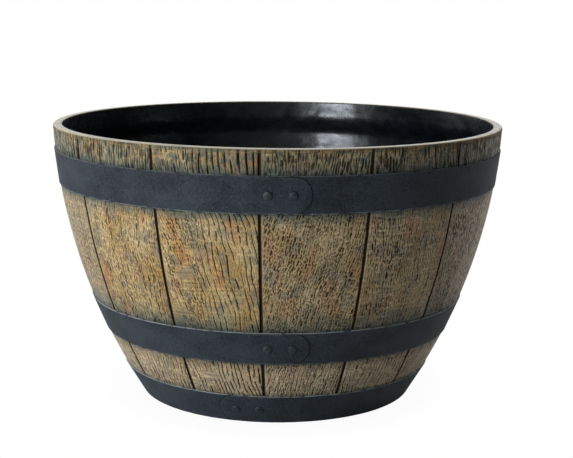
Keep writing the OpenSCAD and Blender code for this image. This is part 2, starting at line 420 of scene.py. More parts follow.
def geometry_tree(name, *sizes):
    """A new geometry tree with named inputs for its sizes and its material, and their fields."""
    group = bpy.data.node_groups.new(name, "GeometryNodeTree")
    group.interface.new_socket("Geometry", in_out="OUTPUT", socket_type="NodeSocketGeometry")
    for label in sizes:
        group.interface.new_socket(label, in_out="INPUT", socket_type="NodeSocketFloat")
    group.interface.new_socket("Material", in_out="INPUT", socket_type="NodeSocketMaterial")
    tree = Tree(group)
    start = group.nodes.new("NodeGroupInput")
    return tree, {label: Field(tree, start.outputs[label]) for label in sizes + ("Material",)}


def finish_tree(tree, geometry, material):
    """Ends a tree: instances made real, smooth faces and the material."""
    real = tree.get("GeometryNodeRealizeInstances", {}, {"Geometry": geometry})
    smooth = tree.get("GeometryNodeSetShadeSmooth", {}, {"Geometry": real})
    painted = tree.get("GeometryNodeSetMaterial", {}, {"Geometry": smooth, "Material": material})
    end = tree.tree.nodes.new("NodeGroupOutput")
    tree.tree.links.new(painted.socket, end.inputs[0])
    return tree.tree


def made_with(name, group, values):
    """An object whose plain mesh is what the tree makes from these input values."""
    host = bpy.data.objects.new(name, bpy.data.meshes.new(name))
    bpy.context.scene.collection.objects.link(host)
    modifier = host.modifiers.new(name, "NODES")
    modifier.node_group = group
    for item in group.interface.items_tree:
        if item.in_out == "INPUT" and item.name in values:
            modifier[item.identifier] = values[item.name]
    bpy.context.view_layer.update()
    seen = host.evaluated_get(bpy.context.evaluated_depsgraph_get())
    mesh = bpy.data.meshes.new_from_object(seen)
    host.modifiers.clear()
    host.data = mesh
    mesh.name = name
    return host


def grid_place(tree, row_length):
    """A vertex's row and its place in the row, from its index."""
    index = tree.get("GeometryNodeInputIndex")
    row = ((index + 0.5) / row_length).floor()
    return row, index - row * row_length


def polar(tree, azimuth, radius, height):
    """A point from its azimuth in degrees, and its radius and height in millimetres."""
    angle = azimuth * RADIANS
    return tree.vector(tree.math("SINE", angle) * radius * MM,
                       tree.math("COSINE", angle) * radius * -MM, height * MM)


def wall_field(height):
    """The wall's radius at a height, as a field."""
    return (ARC_R ** 2 - (height - ARC_CENTRE_Z) ** 2).root() + ARC_CENTRE_R


def pushed_in(tree, geometry, amount, where):
    """Moves vertices in towards the axis, by an amount in millimetres, where told to."""
    x, y, _ = tree.parts(tree.get("GeometryNodeInputPosition"))
    across = (x * x + y * y).root()
    move = amount * where * -MM
    return tree.get("GeometryNodeSetPosition", {}, {
        "Geometry": geometry, "Offset": tree.vector(x / across * move, y / across * move, 0.0)})


def stave_rows():
    """Rows up a stave: many where it shows, few behind the hoops, where it steps back by the seat."""
    legs = []
    height = JACKET_LOW
    for low, high, _, _ in sorted(BANDS.values()):
        if low > JACKET_LOW:
            shown = low + SEAT_MARGIN - height
            legs += [(round(shown / 1.1), shown, 0), (1, 0.1, 1)]
            height += shown + 0.1
        hidden = high - SEAT_MARGIN - 0.1 - height
        legs += [(4, hidden, 0), (1, 0.1, -1)]
        height += hidden + 0.1
    return legs + [(20, JACKET_TOP - height, 0)]


def stave_tree():
    """A stave as a closed tube, with the wood's figure cut into its face."""
    tree, size = geometry_tree(
        "Stave", "First Azimuth", "Angle", "Thickness", "Seam Width", "Seam Depth", "Seat Depth", "Relief")
    face_steps, back_steps = 152, 20
    ring = face_steps + back_steps + 6
    rows = stave_rows()
    tube = tree.get("GeometryNodeMeshCylinder", {"fill_type": "NGON"},
                    {"Vertices": ring, "Side Segments": steps_in(rows)}, "Mesh")
    row, column = grid_place(tree, ring)
    height, seat = walk(steps_in(rows) - row, (JACKET_LOW, 1), rows)
    radius = wall_field(height)
    seam = (size["Seam Width"] / 2) / radius * DEGREES
    behind = size["Thickness"] - size["Seam Depth"]
    azimuth, depth = walk(column, (size["First Azimuth"] + seam, 0), [
        (face_steps, size["Angle"] - seam * 2, 0),
        (1, 0, size["Seam Depth"]),
        (1, seam, 0),
        (1, 0, behind),
        (back_steps, -size["Angle"], 0),
        (1, 0, -behind),
        (1, seam, 0)])
    depth = depth.most(seat * size["Seat Depth"])
    shaped = tree.get("GeometryNodeSetPosition", {}, {
        "Geometry": tube, "Position": polar(tree, azimuth, radius - depth, height)})
    stored = tree.get("GeometryNodeStoreNamedAttribute", {"data_type": "FLOAT", "domain": "POINT"}, {
        "Geometry": shaped, "Name": "face", "Value": (face_steps + 0.5 - column).clamp() * (1 - seat)})

    place = stave_place(tree, tree.get("GeometryNodeInputPosition"))
    figure = wood_figure(tree, place)
    slow = tree.noise(place["across"] * 0.03 + figure["shift"], place["along"] * 0.012, detail=2.0)
    round_off = ((1 - (place["to_seam"] - SEAM_W / 2) / 2.2).clamp()) ** 2 * 0.7
    relief = figure["strokes"] * 0.42 + slow * 0.35 + (figure["saw"] + 0.5) * 0.16
    inset = relief * size["Relief"] + round_off
    face = tree.get("GeometryNodeInputNamedAttribute", {"data_type": "FLOAT"}, {"Name": "face"})
    cut = pushed_in(tree, stored, inset, face)
    plain = tree.get("GeometryNodeRemoveAttribute", {}, {"Geometry": cut, "Name": "face"})
    return finish_tree(tree, plain, size["Material"])


def round_place(tree, point):
    """A point's angle from the front in radians, its way round the wall, and its height."""
    x, y, z = tree.parts(point)
    angle = tree.math("ARCTAN2", x, -y)
    return angle, angle * ROUND_R, z / MM


def cast_pits(tree, turn, up):
    """Fine pits of a hoop's face, the same for relief and paint."""
    return tree.noise(turn * 0.33, up * 0.33, 7.7, detail=2.5, roughness=0.6).rise(0.52, 0.72)


def hammered(tree):
    """How far a hoop's face lies below its highest places: dents and cast pits, in millimetres."""
    _, turn, up = round_place(tree, tree.get("GeometryNodeInputPosition"))
    dents = tree.noise(turn * 0.05, up * 0.06, 3.1, detail=2.0)
    return dents * 0.35 + cast_pits(tree, turn, up) * 0.16


def hoop_tree():
    """A hoop with its strap's end."""
    tree, size = geometry_tree(
        "Hoop", "Lower Edge", "Upper Edge", "Wall Radius", "Wall Slope", "Proud", "Sunk",
        "Lap Azimuth", "Lap Direction", "Lap Rise", "Lap Radius", "Seed")
    low, high = size["Lower Edge"], size["Upper Edge"]
    width = high - low
    middle = (low + high) / 2
    face_r = size["Wall Radius"] + size["Wall Slope"] * middle + size["Proud"]

    # The hoop itself, closed round its section and round the wall
    turns = 1080
    bevel = 0.8
    flat = size["Proud"] + size["Sunk"] - bevel
    section = [
        (3, flat, 0), (1, 0.42, 0.1), (1, 0.27, 0.27), (1, 0.11, 0.43), (34, 0, width - 2 * bevel),
        (1, -0.11, 0.43), (1, -0.27, 0.27), (1, -0.42, 0.1), (3, -flat, 0), (4, 0, -width)]
    ring = steps_in(section) + 1
    sheet = tree.get("GeometryNodeMeshGrid", {}, {"Vertices X": turns + 1, "Vertices Y": ring}, "Mesh")
    row, column = grid_place(tree, ring)
    out, height = walk(column, (-size["Sunk"], low), section)
    azimuth = row * (360 / turns)
    angle = azimuth * RADIANS
    east, south = tree.math("SINE", angle), tree.math("COSINE", angle)
    upper = tree.noise(east * 19, south * 19, size["Seed"], detail=3.0)
    lower = tree.noise(east * 19, south * 19, size["Seed"] + 4.4, detail=3.0)
    reach = (height - middle) / (width / 2)
    wave = lower * (-reach).most(0) ** 5 - upper * reach.most(0) ** 5
    height = height + wave * 0.55
    radius = size["Wall Radius"] + size["Wall Slope"] * height + out
    band = tree.get("GeometryNodeSetPosition", {}, {
        "Geometry": sheet, "Position": polar(tree, azimuth, radius, height)})
    band = pushed_in(tree, band, hammered(tree), out.above(size["Proud"] - bevel / 2))

    # The strap's end: a half round and its straight sides, which slope back into the hoop
    buried = -0.8
    tail = -(RIVET_STEP + LAP_TAIL)
    slope = LAP_RISE / RAMP_L
    run = tail + buried / slope
    edge = [
        (2, size["Lap Radius"], 0), (2, 0, size["Lap Rise"] - 0.5 - buried), (1, -0.07, 0.27),
        (1, -0.2, 0.17), (1, -0.35, 0.06), (18, 0.62 - size["Lap Radius"], 0)]
    outline = [(72, -run, 0), (56, 0, 180), (72, run, 0)]
    ring = steps_in(edge) + 1
    sheet = tree.get("GeometryNodeMeshGrid", {}, {
        "Vertices X": steps_in(outline) + 1, "Vertices Y": ring}, "Mesh")
    row, column = grid_place(tree, ring)
    off, rise = walk(column, (0, buried), edge)
    length, bend = walk(row, (run, 90), outline)
    bend = bend * RADIANS
    length = length - tree.math("COSINE", bend) * off
    side = tree.math("SINE", bend) * off
    rise = rise.least((length - tail) * slope).most(buried)
    turn = size["Lap Direction"] * (length - size["Lap Radius"]) / face_r
    azimuth = size["Lap Azimuth"] + turn * DEGREES
    height = middle + side
    radius = size["Wall Radius"] + size["Wall Slope"] * height + size["Proud"] + rise
    lap = tree.get("GeometryNodeSetPosition", {}, {
        "Geometry": sheet, "Position": polar(tree, azimuth, radius, height)})
    lap = pushed_in(tree, lap, hammered(tree), rise.above(0.0))

    both = tree.add("GeometryNodeJoinGeometry")
    tree.tree.links.new(band.socket, both.inputs[0])
    tree.tree.links.new(lap.socket, both.inputs[0])
    closed = tree.get("GeometryNodeMergeByDistance", {}, {
        "Geometry": Field(tree, both.outputs[0]), "Distance": WELD})
    return finish_tree(tree, closed, size["Material"])


def rivet_tree():
    """The two rivet heads on a hoop's strap."""
    tree, size = geometry_tree(
        "Rivets", "Lap Azimuth", "Lap Direction", "Lap Rise", "Lap Radius", "Step", "Height",
        "Face Radius", "Slope", "Head Radius", "Head Height", "Seed")

    # One head, low and domed, with a small upright edge
    edge_h = 0.3
    around = 56
    dome_steps = 14
    section = [(1, size["Head Radius"], 0), (2, 0, edge_h + 0.9)]
    ring = steps_in(section) + dome_steps + 1
    sheet = tree.get("GeometryNodeMeshGrid", {}, {"Vertices X": around + 1, "Vertices Y": ring}, "Mesh")
    row, column = grid_place(tree, ring)
    radius, rise = walk(column, (0, -0.9), section)
    up = ((column - steps_in(section)) / dome_steps).clamp() * (math.pi / 2)
    radius = radius * tree.math("COSINE", up)
    rise = rise + tree.math("SINE", up) * (size["Head Height"] - edge_h)
    turn = row * (2 * math.pi / around)
    head = tree.get("GeometryNodeSetPosition", {}, {"Geometry": sheet, "Position": tree.vector(
        tree.math("COSINE", turn) * radius * MM, tree.math("SINE", turn) * radius * MM, rise * MM)})
    head = tree.get("GeometryNodeMergeByDistance", {}, {"Geometry": head, "Distance": WELD})

    # Two of them, one step apart behind the strap's end
    line = tree.get("GeometryNodeMeshLine", {}, {"Count": 2})
    back = size["Lap Radius"] + tree.get("GeometryNodeInputIndex") * size["Step"]
    azimuth = size["Lap Azimuth"] - size["Lap Direction"] * back / size["Face Radius"] * DEGREES
    on_strap = polar(tree, azimuth, size["Face Radius"] + size["Lap Rise"], size["Height"])
    points = tree.get("GeometryNodeSetPosition", {}, {"Geometry": line, "Position": on_strap})
    angle = azimuth * RADIANS
    outward = tree.vector(tree.math("SINE", angle), -tree.math("COSINE", angle), -size["Slope"])
    facing = tree.get("FunctionNodeAlignRotationToVector", {"axis": "Z"}, {"Vector": outward})
    heads = tree.get("GeometryNodeInstanceOnPoints", {}, {
        "Points": points, "Instance": head, "Rotation": facing})
    real = tree.get("GeometryNodeRealizeInstances", {}, {"Geometry": heads})

    # Hammer marks
    x, y, z = tree.parts(tree.get("GeometryNodeInputPosition"))
    marks = tree.noise(x * 420 + size["Seed"], y * 420, z * 420, detail=1.5) - 0.5
    normal = tree.get("GeometryNodeInputNormal")
    push = tree.get("ShaderNodeVectorMath", {"operation": "SCALE"}, {
        "Vector": normal, "Scale": marks * 0.45 * MM})
    beaten = tree.get("GeometryNodeSetPosition", {}, {"Geometry": real, "Offset": push})
    return finish_tree(tree, beaten, size["Material"])


# Materials

def new_material(name):
    """A new material, its empty tree, and the object coordinates in that tree."""
    material = bpy.data.materials.new(name)
    material.use_nodes = True
    material.node_tree.nodes.clear()
    tree = Tree(material.node_tree)
    point = tree.get("ShaderNodeTexCoord", {}, {}, "Object")
    return material, tree, point


def set_shader(tree, inputs, bump):
    """The Principled shader, over a bump whose height is in millimetres."""
    normal = tree.get("ShaderNodeBump", {}, {"Strength": 1.0, "Distance": MM, "Height": bump})
    shader = tree.get("ShaderNodeBsdfPrincipled", {}, dict(inputs, Normal=normal))
    tree.add("ShaderNodeOutputMaterial", {}, {"Surface": shader})


def near_hoops(along, reach):
    """1 at a hoop's edges, falling to 0 at a distance that is greater above a hoop than below it."""
    gaps = [((low - along) * 1.3).most((along - high) * 0.65) for low, high, _, _ in BANDS.values()]
    return strongest([1 - (gap / reach).clamp() for gap in gaps])


def wood_material():
    material, tree, point = new_material("wood_effect")
    place = stave_place(tree, point)
    figure = wood_figure(tree, place)
    across, along, shift = place["across"], place["along"], figure["shift"]
    cloud = tree.noise(across * 0.028 + shift, along * 0.02, 1.7, detail=3.0)
    warm = tree.noise(across * 0.05 + shift, along * 0.022, 5.1, detail=3.0)
    cool = tree.noise(across * 0.045 + shift, along * 0.04, 8.9, detail=5.0, roughness=0.65)
    colour = tree.blend(cloud.rise(0.35, 0.65), linear("#bd995c"), linear("#d1b584"))
    colour = tree.blend(warm.rise(0.52, 0.66) * 0.6, colour, linear("#cc8c5a"))
    colour = tree.blend(cool.rise(0.48, 0.62) * 0.65, colour, linear("#8b8270"))
    colour = tree.blend(choose(tree, place["number"], STAVE_GREYS_AND_SHEEN) * 0.7, colour, linear("#a8a292"))
    # The lower strip is paler: partly its paint's own tone, partly painted light that lifts the low wall
    pale_and_painted_light = below_hoop(along) * (0.5 + cloud * 0.3)
    colour = tree.blend(pale_and_painted_light, colour, linear("#dcc6a6"))
    brushed = tree.noise(across * 0.05 + shift, along * 0.5, 2.9, detail=3.0) - 0.5
    brushed = brushed * (0.3 + figure["patch"] * 0.9)
    speck = tree.noise(figure["grain"] * 0.6 + shift, along * 0.3, 4.3, detail=3.0, roughness=0.65) - 0.5
    tone = 1.02 + brushed * 1.2 + speck * 1.9 + figure["saw"] * 1.2
    colour = tree.blend(1.0, colour, tree.vector(tone, tone, tone), "MULTIPLY")
    spread = tree.noise(across * 0.09 + shift, along * 0.09, 6.6, detail=3.0)
    spray = near_hoops(along, 3.0 + spread * 26) * (0.5 + spread) * (1 - below_hoop(along) * 0.6)
    mottle = tree.noise(across * 0.17 + shift, along * 0.12, 3.8, detail=4.0, roughness=0.65)
    strip = along.rise(ABOVE_HOOP, ABOVE_HOOP + 8) * (0.17 + mottle.rise(0.44, 0.61) * 0.8)
    colour = tree.blend(spray.most(strip).clamp() * 0.88, colour, linear("#57645c"))
    reach = 0.8 + spread * (4 + along.rise(ABOVE_HOOP - 3, ABOVE_HOOP + 6) * 3)
    margin = near_hoops(along, reach) * mottle.rise(0.36, 0.55)
    colour = tree.blend(margin * 0.75, colour, linear("#3d4348"))
    colour = tree.blend(figure["strokes"] * 0.98, colour, linear("#20120a"))
    seam = place["to_seam"].fall(SEAM_W / 2, SEAM_W / 2 + 0.9)
    colour = tree.blend(seam, colour, linear("#36271c"))
    fine = tree.noise(figure["grain"] * 1.6 + shift, along * 0.8, 9.7, detail=3.0)
    smooth = 1 - figure["strokes"].most(seam)
    rough = 0.8 - smooth * 0.38 + cool * 0.1 - figure["patch"] * 0.06
    bump = fine * 0.12 + speck * 1.2 + smooth * 0.4 + figure["saw"] * 0.4
    set_shader(tree, {"Base Color": colour, "Roughness": rough, "Specular IOR Level": 0.06,
                      "Coat Weight": smooth * 0.9, "Coat Roughness": 0.32, "Coat IOR": 1.3,
                      "Sheen Weight": 0.08, "Sheen Roughness": 0.3}, bump)
    return material


def lip_material():
    material, tree, point = new_material("lip")
    x, y, z = tree.parts(point)
    place = stave_place(tree, point)
    figure = wood_figure(tree, place)
    radius = (x * x + y * y).root() / MM
    turn = tree.math("ARCTAN2", x, -y) * ROUND_R
    cloud = tree.noise(x * 34, y * 34, z * 34, detail=3.0)
    scuff = tree.noise(turn * 0.05, radius * 0.5 + z * 500, 3.3, detail=3.0)
    colour = tree.blend(cloud.rise(0.35, 0.65), linear("#b5aa90"), linear("#a29779"))
    # The flat top is paler cream in patches: partly its paint, partly a painted highlight where the top
    # faces the light
    top = place["along"].rise(HEIGHT - 1.0, HEIGHT - 0.2)
    colour = tree.blend(top * cloud.rise(0.3, 0.5), colour, linear("#d4c6a4"))
    worn = radius.fall(MOUTH_R + 0.6, MOUTH_R + 2.0)
    colour = tree.blend(worn * 0.9, colour, linear("#1c1d1e"))
    edge = place["along"].fall(HEIGHT - 1.6 + cloud * 0.8, HEIGHT - 0.5)
    colour = tree.blend(edge * 0.9, colour, linear("#9a8052"))
    colour = tree.blend(edge * scuff.rise(0.45, 0.6) * 0.8, colour, linear("#555e4e"))
    # The grain's strokes and the seams run on over the outer edge as dark marks; the seams' marks are
    # partly the joints' dark paint, partly painted shade of a groove that the ring has only as a shallow
    # bump
    cut = edge * figure["strokes"].most(place["to_seam"].fall(SEAM_W / 2, SEAM_W / 2 + 0.9))
    colour = tree.blend(cut * 0.95, colour, linear("#2a1c12"))
    rough = 0.22 + scuff * 0.12 + edge * 0.25
    fine = tree.noise(x * 900, y * 900, z * 900, detail=2.0)
    set_shader(tree, {"Base Color": colour, "Roughness": rough}, fine * 0.03 - cut * 0.4)
    return material


def hoop_material():
    material, tree, point = new_material("hoop")
    angle, turn, up = round_place(tree, point)
    cloud = tree.noise(turn * 0.02, up * 0.035, 2.4, detail=3.0)
    pits = cast_pits(tree, turn, up)
    grit = tree.noise(turn * 0.6, up * 0.6, 5.5, detail=3.0, roughness=0.65)
    colour = tree.blend(cloud.rise(0.3, 0.7), linear("#242a30"), linear("#363d45"))
    # Painted light: the hoops get lighter towards the bottom, standing in for light from low down on the
    # lower hoops
    colour = tree.blend(up.fall(20, 160) * 0.25, colour, linear("#4c545a"))
    colour = tree.blend(pits * 0.6, colour, linear("#14181e"))
    colour = tree.blend(grit.rise(0.52, 0.66) * 0.5, colour, linear("#4e575e"))

    # The hoops' edges and the straps' ends are worn, and a dark line of painted shade runs round each
    # end's step
    tail = -(RIVET_STEP + LAP_TAIL)
    lower_edges, upper_edges, ends, steps = [], [], [], []
    for low, high, lap_az, way in BANDS.values():
        if low > JACKET_LOW:
            lower_edges.append((up - low).size().fall(0.6, 1.8))
        upper_edges.append((up - high).size().fall(0.8, 1.8))
        line, slope = band_line(low, high)
        middle = (low + high) / 2
        lap_r = (high - low) / 2 - LAP_INSET
        length = (angle - math.radians(lap_az)) * (way * (line + slope * middle)) + lap_r
        side = up - middle
        off = (length.most(0) ** 2 + side ** 2).root() - lap_r
        strap = length.rise(tail, tail + 16)
        painted_shade_ring = off.rise(-0.2, 0.2) * off.fall(0.4, 3.0)
        ends.append(off.rise(-1.8, -1.0) * off.fall(-0.4, 0.0) * strap)
        steps.append(painted_shade_ring * strap * side.size().fall(lap_r, lap_r + 1))
    ragged = tree.noise(turn * 0.09, up * 0.3, 1.1, detail=4.0)
    wear = strongest([
        strongest(lower_edges) * ragged.rise(0.42, 0.56) * 0.6,
        strongest(ends) * ragged.rise(0.4, 0.6) * 0.15,
        strongest(upper_edges) * ragged.rise(0.34, 0.5) * up.fall(200, 280).most(0.3)])
    colour = tree.blend(wear * 0.8, colour, linear("#a3a8a6"))
    # Painted shade: a dark line round each strap's end, where the end steps off the hoop
    colour = tree.blend(strongest(steps) * 0.55, colour, linear("#0b0d10"))
    rough = 0.48 + grit * 0.16 - wear * 0.08
    set_shader(tree, {"Base Color": colour, "Roughness": rough, "Specular IOR Level": 0.33},
               grit * 0.4 - pits * 0.2)
    return material


def rivet_material():
    material, tree, point = new_material("rivet")
    x, y, z = tree.parts(point)
    cloud = tree.noise(x * 300, y * 300, z * 300, detail=3.0)
    grit = tree.noise(x * 1300, y * 1300, z * 1300, detail=2.0)
    colour = tree.blend(cloud.rise(0.35, 0.65), linear("#22272d"), linear("#394046"))
    colour = tree.blend(grit.rise(0.55, 0.7) * 0.5, colour, linear("#666c70"))
    set_shader(tree, {"Base Color": colour, "Roughness": 0.36 + cloud * 0.16}, grit * 0.1)
    return material


def resin_material():
    material, tree, point = new_material("black_resin")
    x, y, z = tree.parts(point)
    flow = tree.noise(x * 45, y * 45, z * 60, detail=4.0, roughness=0.55)
    slow = tree.noise(x * 14, y * 14, z * 22, detail=2.0)
    dust = tree.noise(x * 160, y * 160, z * 160, detail=4.0, roughness=0.65)
    low = (z / MM).fall(FLOOR_TOP, FLOOR_TOP + 90)
    colour = tree.blend(flow.rise(0.3, 0.7), linear("#0a0d11"), linear("#13181e"))
    colour = tree.blend(low * dust.rise(0.45, 0.75) * 0.3, colour, linear("#4a4a46"))
    swirl = tree.noise(x * 42, y * 42, z * 55, detail=1.0)
    rough = 0.14 + flow * 0.2 + dust * 0.05
    set_shader(tree, {"Base Color": colour, "Roughness": rough, "Specular IOR Level": 0.95},
               slow * 1.2 + swirl * 0.8 + flow * 0.4)
    return material


def plug_material():
    material, tree, point = new_material("plug")
    x, y, z = tree.parts(point)
    cloud = tree.noise(x * 120, y * 120, z * 120, detail=3.0)
    grit = tree.noise(x * 1500, y * 1500, z * 1500, detail=2.0)
    colour = tree.blend(cloud.rise(0.3, 0.7), linear("#26282b"), linear("#34363a"))
    set_shader(tree, {"Base Color": colour, "Roughness": 0.62 + cloud * 0.15}, grit * 0.06)
    return material


# Turned pieces

def rounded(corners, steps=6):
    """A closed outline of radius and height, each corner rounded by its third value."""
    points = []
    for i, (r, z, size) in enumerate(corners):
        here = np.array((r, z), float)
        if size <= 0:
            points.append(here)
            continue
        before = np.array(corners[i - 1][:2], float)
        after = np.array(corners[(i + 1) % len(corners)][:2], float)
        to_before, to_after = before - here, after - here
        a = here + to_before * min(size / np.linalg.norm(to_before), 0.5)
        c = here + to_after * min(size / np.linalg.norm(to_after), 0.5)
        for t in np.linspace(0, 1, steps + 1):
            points.append((1 - t) ** 2 * a + 2 * t * (1 - t) * here + t * t * c)
    return points


def wall_corners(low, high, inset, steps):
    """Points up the wall's line, an inset inside its face, none of them rounded."""
    return [(wall_r(z) - inset, z, 0) for z in np.linspace(low, high, steps + 1)]


def turned(points, segments):
    """A closed outline of radius and height in millimetres, turned round the axis, as a bmesh."""
    mesh = bmesh.new()
    angles = np.radians(np.arange(segments) * 360 / segments)
    rings = []
    for r, z in points:
        if r < 1e-6:
            rings.append([mesh.verts.new((0, 0, z * MM))] * segments)
            continue
        places = [(math.sin(a) * r * MM, -math.cos(a) * r * MM, z * MM) for a in angles]
        rings.append([mesh.verts.new(place) for place in places])
    for k, ring in enumerate(rings):
        after = rings[(k + 1) % len(rings)]
        for i in range(segments):
            j = (i + 1) % segments
            corners = []
            for vertex in (ring[i], ring[j], after[j], after[i]):
                if vertex not in corners:
                    corners.append(vertex)
            if len(corners) > 2:
                mesh.faces.new(corners)
    bmesh.ops.recalc_face_normals(mesh, faces=mesh.faces)
    return mesh


def as_object(name, mesh, material, sharp=40):
    """A bmesh as an object, smooth but for edges sharper than an angle."""
    for face in mesh.faces:
        face.smooth = True
    for edge in mesh.edges:
        if len(edge.link_faces) == 2 and edge.calc_face_angle(0) > math.radians(sharp):
            edge.smooth = False
    data = bpy.data.meshes.new(name)
    mesh.to_mesh(data)
    mesh.free()
    data.materials.append(material)
    piece = bpy.data.objects.new(name, data)
    bpy.context.scene.collection.objects.link(piece)
    return piece


def add_box(mesh, low, high):
    """Adds a box between two corners in millimetres, and returns its vertices."""
    made = bmesh.ops.create_cube(mesh, size=1)["verts"]
    low, high = Vector(low) * MM, Vector(high) * MM
    for vertex in made:
        vertex.co = Vector([a + (b - a) * (c + 0.5) for a, b, c in zip(low, high, vertex.co)])
    return made


def add_drum(mesh, radius, low, high):
    """Adds an upright drum on the drains' circle at the front, and returns its vertices."""
    made = bmesh.ops.create_cone(
        mesh, cap_ends=True, segments=72, radius1=radius * MM, radius2=radius * MM,
        depth=(high - low) * MM)["verts"]
    bmesh.ops.translate(mesh, verts=made, vec=Vector((0, -DRAIN_CIRCLE_R, (low + high) / 2)) * MM)
    return made


def turn_about_axis(mesh, vertices, azimuth):
    """Turns what was built at the front to an azimuth."""
    bmesh.ops.rotate(mesh, cent=(0, 0, 0), verts=vertices,
                     matrix=Quaternion((0, 0, 1), math.radians(azimuth)).to_matrix())


def carved(piece, mesh):
    """Cuts a bmesh out of a piece."""
    tool = bpy.data.objects.new("tool", bpy.data.meshes.new("tool"))
    mesh.to_mesh(tool.data)
    mesh.free()
    bpy.context.scene.collection.objects.link(tool)
    modifier = piece.modifiers.new("cut", "BOOLEAN")
    modifier.operation = "DIFFERENCE"
    modifier.solver = "EXACT"
    modifier.object = tool
    bpy.context.view_layer.update()
    seen = piece.evaluated_get(bpy.context.evaluated_depsgraph_get())
    cut = bpy.data.meshes.new_from_object(seen)
    piece.modifiers.clear()
    piece.data = cut
    bpy.data.objects.remove(tool)


def rim_ring(material):
    tongue = (MOUTH_R + wall_r(BOWL_TOP) - BOWL_INSET) / 2
    profile = rounded([
        (MOUTH_R, BOWL_TOP, 0),
        (MOUTH_R, HEIGHT, 0.9),
        (wall_r(HEIGHT) - LIP_IN, HEIGHT, 3.0),
        (wall_r(JACKET_TOP), JACKET_TOP, 0),
        (wall_r(JACKET_TOP) - JACKET_T, JACKET_TOP, 0),
        (wall_r(BOWL_TOP) - JACKET_T, BOWL_TOP, 0),
        (tongue + TONGUE_W / 2, BOWL_TOP, 0),
        (tongue + TONGUE_W / 2, BOWL_TOP - TONGUE_D, 0.4),
        (tongue - TONGUE_W / 2, BOWL_TOP - TONGUE_D, 0.4),
        (tongue - TONGUE_W / 2, BOWL_TOP, 0)], 8)
    mesh = turned(profile, 512)
    return as_object("rim_ring_piece", mesh, material)


def inner_bowl(material):
    foot_r = BASE_R - BOWL_INSET
    foot_in = foot_r - FOOT_W
    fillet_top = FLOOR_TOP + FILLET
    profile = rounded(
        [(foot_in, 0, 0.6)]
        + [(foot_r, 0, 0.6)]
        + wall_corners(4, BOWL_TOP, BOWL_INSET, 40)
        + [(MOUTH_R, BOWL_TOP, 0), (wall_r(COLLAR_Z) - LIP_W, COLLAR_Z, 5.0),
           (wall_r(COLLAR_END_Z) - LINER_INSET, COLLAR_END_Z, 6.0)]
        + wall_corners(fillet_top, COLLAR_END_Z - 7, LINER_INSET, 60)[::-1]
        + [(wall_r(FLOOR_TOP) - LINER_INSET, FLOOR_TOP, FILLET),
           (CENTRE_R + 2, FLOOR_TOP, 1.5), (CENTRE_R, FLOOR_TOP + CENTRE_H, 1.5),
           (0, FLOOR_TOP + CENTRE_H, 0), (0, FLOOR_UNDER, 0), (foot_in, FLOOR_UNDER, 1.0)])
    mesh = turned(profile, 384)
    bowl = as_object("inner_bowl_piece", mesh, material)

    # Sockets, then the drains and the channels cut out, then the ribs
    drums, tools = bmesh.new(), bmesh.new()
    for azimuth in DRAIN_AZ:
        turn_about_axis(drums, add_drum(drums, SOCKET_R, SOCKET_LOW, FLOOR_TOP - 1), azimuth)
        turn_about_axis(tools, add_drum(tools, DRAIN_R, FLOOR_UNDER - 27, FLOOR_TOP + 19), azimuth)
    for i in range(RIB_COUNT):
        made = add_box(tools, (-CHANNEL_W / 2, -foot_r - 5, -5), (CHANNEL_W / 2, -foot_in + 5, CHANNEL_H))
        turn_about_axis(tools, made, (i + 0.5) * 360 / RIB_COUNT)
    sockets = as_object("sockets", drums, material)
    tools_again = tools.copy()
    carved(bowl, tools)
    carved(sockets, tools_again)
    joined = bmesh.new()
    joined.from_mesh(bowl.data)
    joined.from_mesh(sockets.data)
    bpy.data.objects.remove(sockets)
    for i in range(RIB_COUNT):
        made = add_box(joined, (-RIB_T / 2, -foot_in - FOOT_W / 2, FLOOR_UNDER - RIB_H),
                       (RIB_T / 2, -2, FLOOR_UNDER + 1))
        turn_about_axis(joined, made, i * 360 / RIB_COUNT)
    bpy.data.objects.remove(bowl)
    return as_object("inner_bowl_piece", joined, material, 30)


def drain_plug(name, azimuth, material):
    half = GRIP_W / 2
    profile = rounded([
        (0, SOCKET_LOW, 0),
        (STEM_R, SOCKET_LOW, 1.2),
        (STEM_R, FLANGE_LOW, 0.3),
        (FLANGE_R, FLANGE_LOW, 0.5),
        (FLANGE_R, FLANGE_TOP, 1.2),
        (half + 2, FLANGE_TOP, 0.3),
        (half + 1.5, FLANGE_TOP - 0.4, 0.3),
        (0, FLANGE_TOP - 0.4, 0)])
    mesh = turned(profile, 96)

    # The grip, an upright plate with a half-round top and softened rims
    grip = bmesh.new()
    foot, side_top = FLANGE_TOP - 1.2, GRIP_TOP - half
    arch = [(math.cos(a) * half, side_top + math.sin(a) * half) for a in np.linspace(0, math.pi, 25)[1:-1]]
    outline = [(-half, foot), (half, foot), (half, side_top)] + arch + [(-half, side_top)]
    face = grip.faces.new([grip.verts.new((x * MM, -GRIP_T / 2 * MM, z * MM)) for x, z in outline])
    made = bmesh.ops.extrude_face_region(grip, geom=[face])["geom"]
    far = [part for part in made if isinstance(part, bmesh.types.BMVert)]
    bmesh.ops.translate(grip, verts=far, vec=(0, GRIP_T * MM, 0))
    bmesh.ops.recalc_face_normals(grip, faces=grip.faces)
    rims = [e for e in grip.edges if abs(e.verts[0].co.y - e.verts[1].co.y) < 1e-7]
    bmesh.ops.bevel(grip, geom=rims, offset=1.1 * MM, segments=4, profile=0.5, affect="EDGES")
    spare = bpy.data.meshes.new("grip")
    grip.to_mesh(spare)
    grip.free()
    mesh.from_mesh(spare)
    bpy.data.meshes.remove(spare)
    bmesh.ops.translate(mesh, verts=mesh.verts, vec=(0, -DRAIN_CIRCLE_R * MM, 0))
    turn_about_axis(mesh, mesh.verts, azimuth)
    return as_object(name, mesh, material, 35)


# The planter

def place_on(piece, body, node):
    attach(piece, body)
    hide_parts(node)


